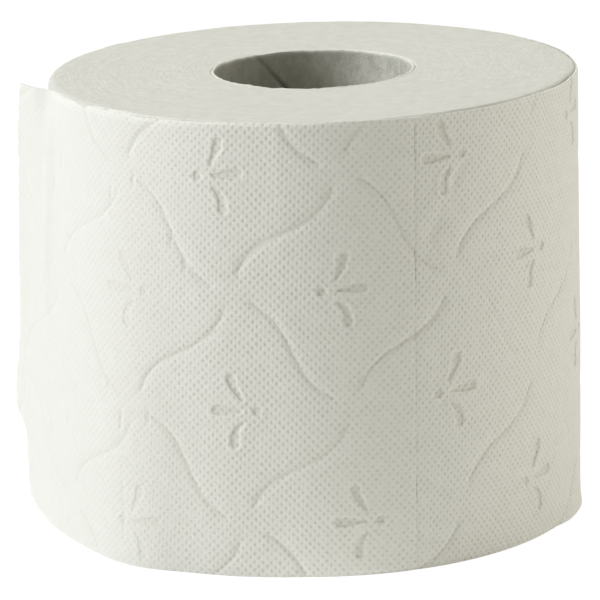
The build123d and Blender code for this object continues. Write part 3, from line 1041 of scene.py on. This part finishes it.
def floor_and_backdrop():
    """A pale floor that the camera sees as nearly white, with the roll's soft shadow on it.

    Just in front of the foot a painted glow in the floor lights the roll's base, less with the distance
    from there; the camera sees a little of it.
    """
    half, bright_place, bright, seen_white = 3000.0, (0.002, -0.066, 0.0), 0.28, 0.86
    corners = np.array([(-half, -half, 0), (half, -half, 0), (half, half, 0), (-half, half, 0)], float)
    material = bpy.data.materials.new("studio_floor")
    material.use_nodes = True
    nodes = Nodes(material.node_tree)
    material.node_tree.nodes.clear()
    diffuse = nodes.add("ShaderNodeBsdfDiffuse", {"Color": (0.93, 0.93, 0.92, 1)})
    place = nodes.add("ShaderNodeTexCoord").outputs["Object"]
    apart = nodes.add("ShaderNodeVectorMath", {0: place, 1: bright_place}, operation="DISTANCE")
    # A painted glow in the floor just in front of the foot, which lights the roll's base
    glow_strength = nodes.span(apart.outputs["Value"], 0.034, 0.004, 0.0, bright)
    painted_glow = nodes.add("ShaderNodeEmission", {"Color": (1.0, 0.99, 0.96, 1), "Strength": glow_strength})
    lit = nodes.add("ShaderNodeAddShader", {0: diffuse.outputs[0], 1: painted_glow.outputs[0]})
    glow = nodes.add("ShaderNodeEmission", {"Color": (1, 1, 1, 1), "Strength": 1.10})
    share = nodes.times(plainly_seen(nodes), seen_white)
    mixed = nodes.add("ShaderNodeMixShader", {0: share, 1: lit.outputs[0], 2: glow.outputs[0]})
    nodes.add("ShaderNodeOutputMaterial", {0: mixed.outputs[0]})
    floor = add_mesh("floor", corners, np.array([[0, 1, 2, 3]]), materials=(material,))


# The lamps: place and size in metres, power in watts, and colour
LAMPS = (
    ("key_left", (-1.185, -0.27, 0.58), (0.5, 0.4), 9.3, (0.940, 0.958, 1.0)),
    ("side_right", (1.25, 0.25, 0.38), (1.0, 1.0), 5.0, (1.0, 0.955, 0.870)),
    ("low_right", (0.7, -0.12, 0.16), (0.5, 0.3), 0.40, (1.0, 0.982, 0.914)),
    ("above", (-0.05, 0.02, 0.7), (0.6, 0.6), 2.1, (0.994, 1.0, 0.937)),
)
LAMPS_LOOK_AT = (0, 0, 0.05)


def stand(thing, x, y, z, place):
    """Puts a lamp or the camera at a place in metres, with its own axes along x, y and z."""
    bpy.context.scene.collection.objects.link(thing)
    rows = np.column_stack([x, y, z, place]).tolist()
    thing.matrix_world = Matrix(rows + [(0, 0, 0, 1)])


def area_lamp(name, place, size, power, colour):
    """A soft lamp with an oblong face that looks at the middle of the roll."""
    data = bpy.data.lights.new(name, "AREA")
    data.shape = "RECTANGLE"
    data.size, data.size_y = size
    data.energy = power
    data.color = colour
    lamp = bpy.data.objects.new(name, data)
    lamp.visible_camera = False
    z = np.array(place, float) - LAMPS_LOOK_AT
    z /= np.linalg.norm(z)
    x = np.cross((0, 0, 1), z)
    x /= np.linalg.norm(x)
    stand(lamp, x, np.cross(z, x), z, place)


def lighting():
    """A high lamp on the left, a large one on the right, one above, a low one, and a dim warm room."""
    for lamp in LAMPS:
        area_lamp(*lamp)
    world = bpy.data.worlds.new("room")
    bpy.context.scene.world = world
    world.use_nodes = True
    nodes = Nodes(world.node_tree)
    world.node_tree.nodes.clear()
    room = nodes.add("ShaderNodeBackground", {"Color": (1.0, 0.955, 0.805, 1), "Strength": 0.26})
    white = nodes.add("ShaderNodeBackground", {"Color": (1, 1, 1, 1), "Strength": 1.0})
    seen = plainly_seen(nodes)
    mixed = nodes.add("ShaderNodeMixShader", {0: seen, 1: room.outputs[0], 2: white.outputs[0]})
    nodes.add("ShaderNodeOutputWorld", {0: mixed.outputs[0]})


def camera():
    """A long lens a little above the roll, turned slightly about its own axis."""
    distance, elevation, target = 823.7, math.radians(14.64), 45.0
    roll = math.radians(1.5424)
    focal_pixels, frame_pixels, sensor = 3733.56, 600, 36.0
    off_centre_pixels = 18.58
    side = -off_centre_pixels * distance / focal_pixels
    data = bpy.data.cameras.new("camera")
    data.sensor_width = sensor
    data.lens = sensor * focal_pixels / frame_pixels
    data.clip_start, data.clip_end = 0.05, 20.0
    ahead = np.array([0, math.cos(elevation), -math.sin(elevation)])
    right = np.array([1.0, 0, 0])
    up = np.cross(right, ahead)
    x = right * math.cos(roll) - up * math.sin(roll)
    y = right * math.sin(roll) + up * math.cos(roll)
    place = (np.array([side, 0, target]) - ahead * distance) * MM
    made = bpy.data.objects.new("camera", data)
    stand(made, x, y, -ahead, place)
    bpy.context.scene.camera = made


def dress_roll():
    """All the roll's pieces, with their finishes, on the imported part."""
    fibres = fibre_group()
    tissue = tissue_material(dimple_group(), fibres)
    ends, board = ends_material(fibres), board_material(fibres)
    middle, last_run = PERFORATION_MIDDLE, math.tau * RADIUS + LOOSE_RUN + UNDERLAP
    pieces = [
        shell("strip_loose_tail", *tail_grid(), (tissue,)),
        shell("strip_front_left", *slit_grid(LEFT_JOINT, middle, LEFT_STEP), (tissue,)),
        shell("strip_front_right", *slit_grid(middle, RIGHT_JOINT, RIGHT_STEP), (tissue,)),
        shell("strip_back", *strip_grid(RIGHT_JOINT, last_run, BACK_STEP, BACK_STEP), (tissue,)),
        wound_turns(ends, tissue),
    ]
    for piece in pieces:
        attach(piece, "root")
        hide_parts("paper_roll")
    tube = board_tube(board)
    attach(tube, "root")
    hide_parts("core_tube")


bpy.context.scene.view_settings.view_transform = "Standard"
dress_roll()
floor_and_backdrop()
lighting()
camera()
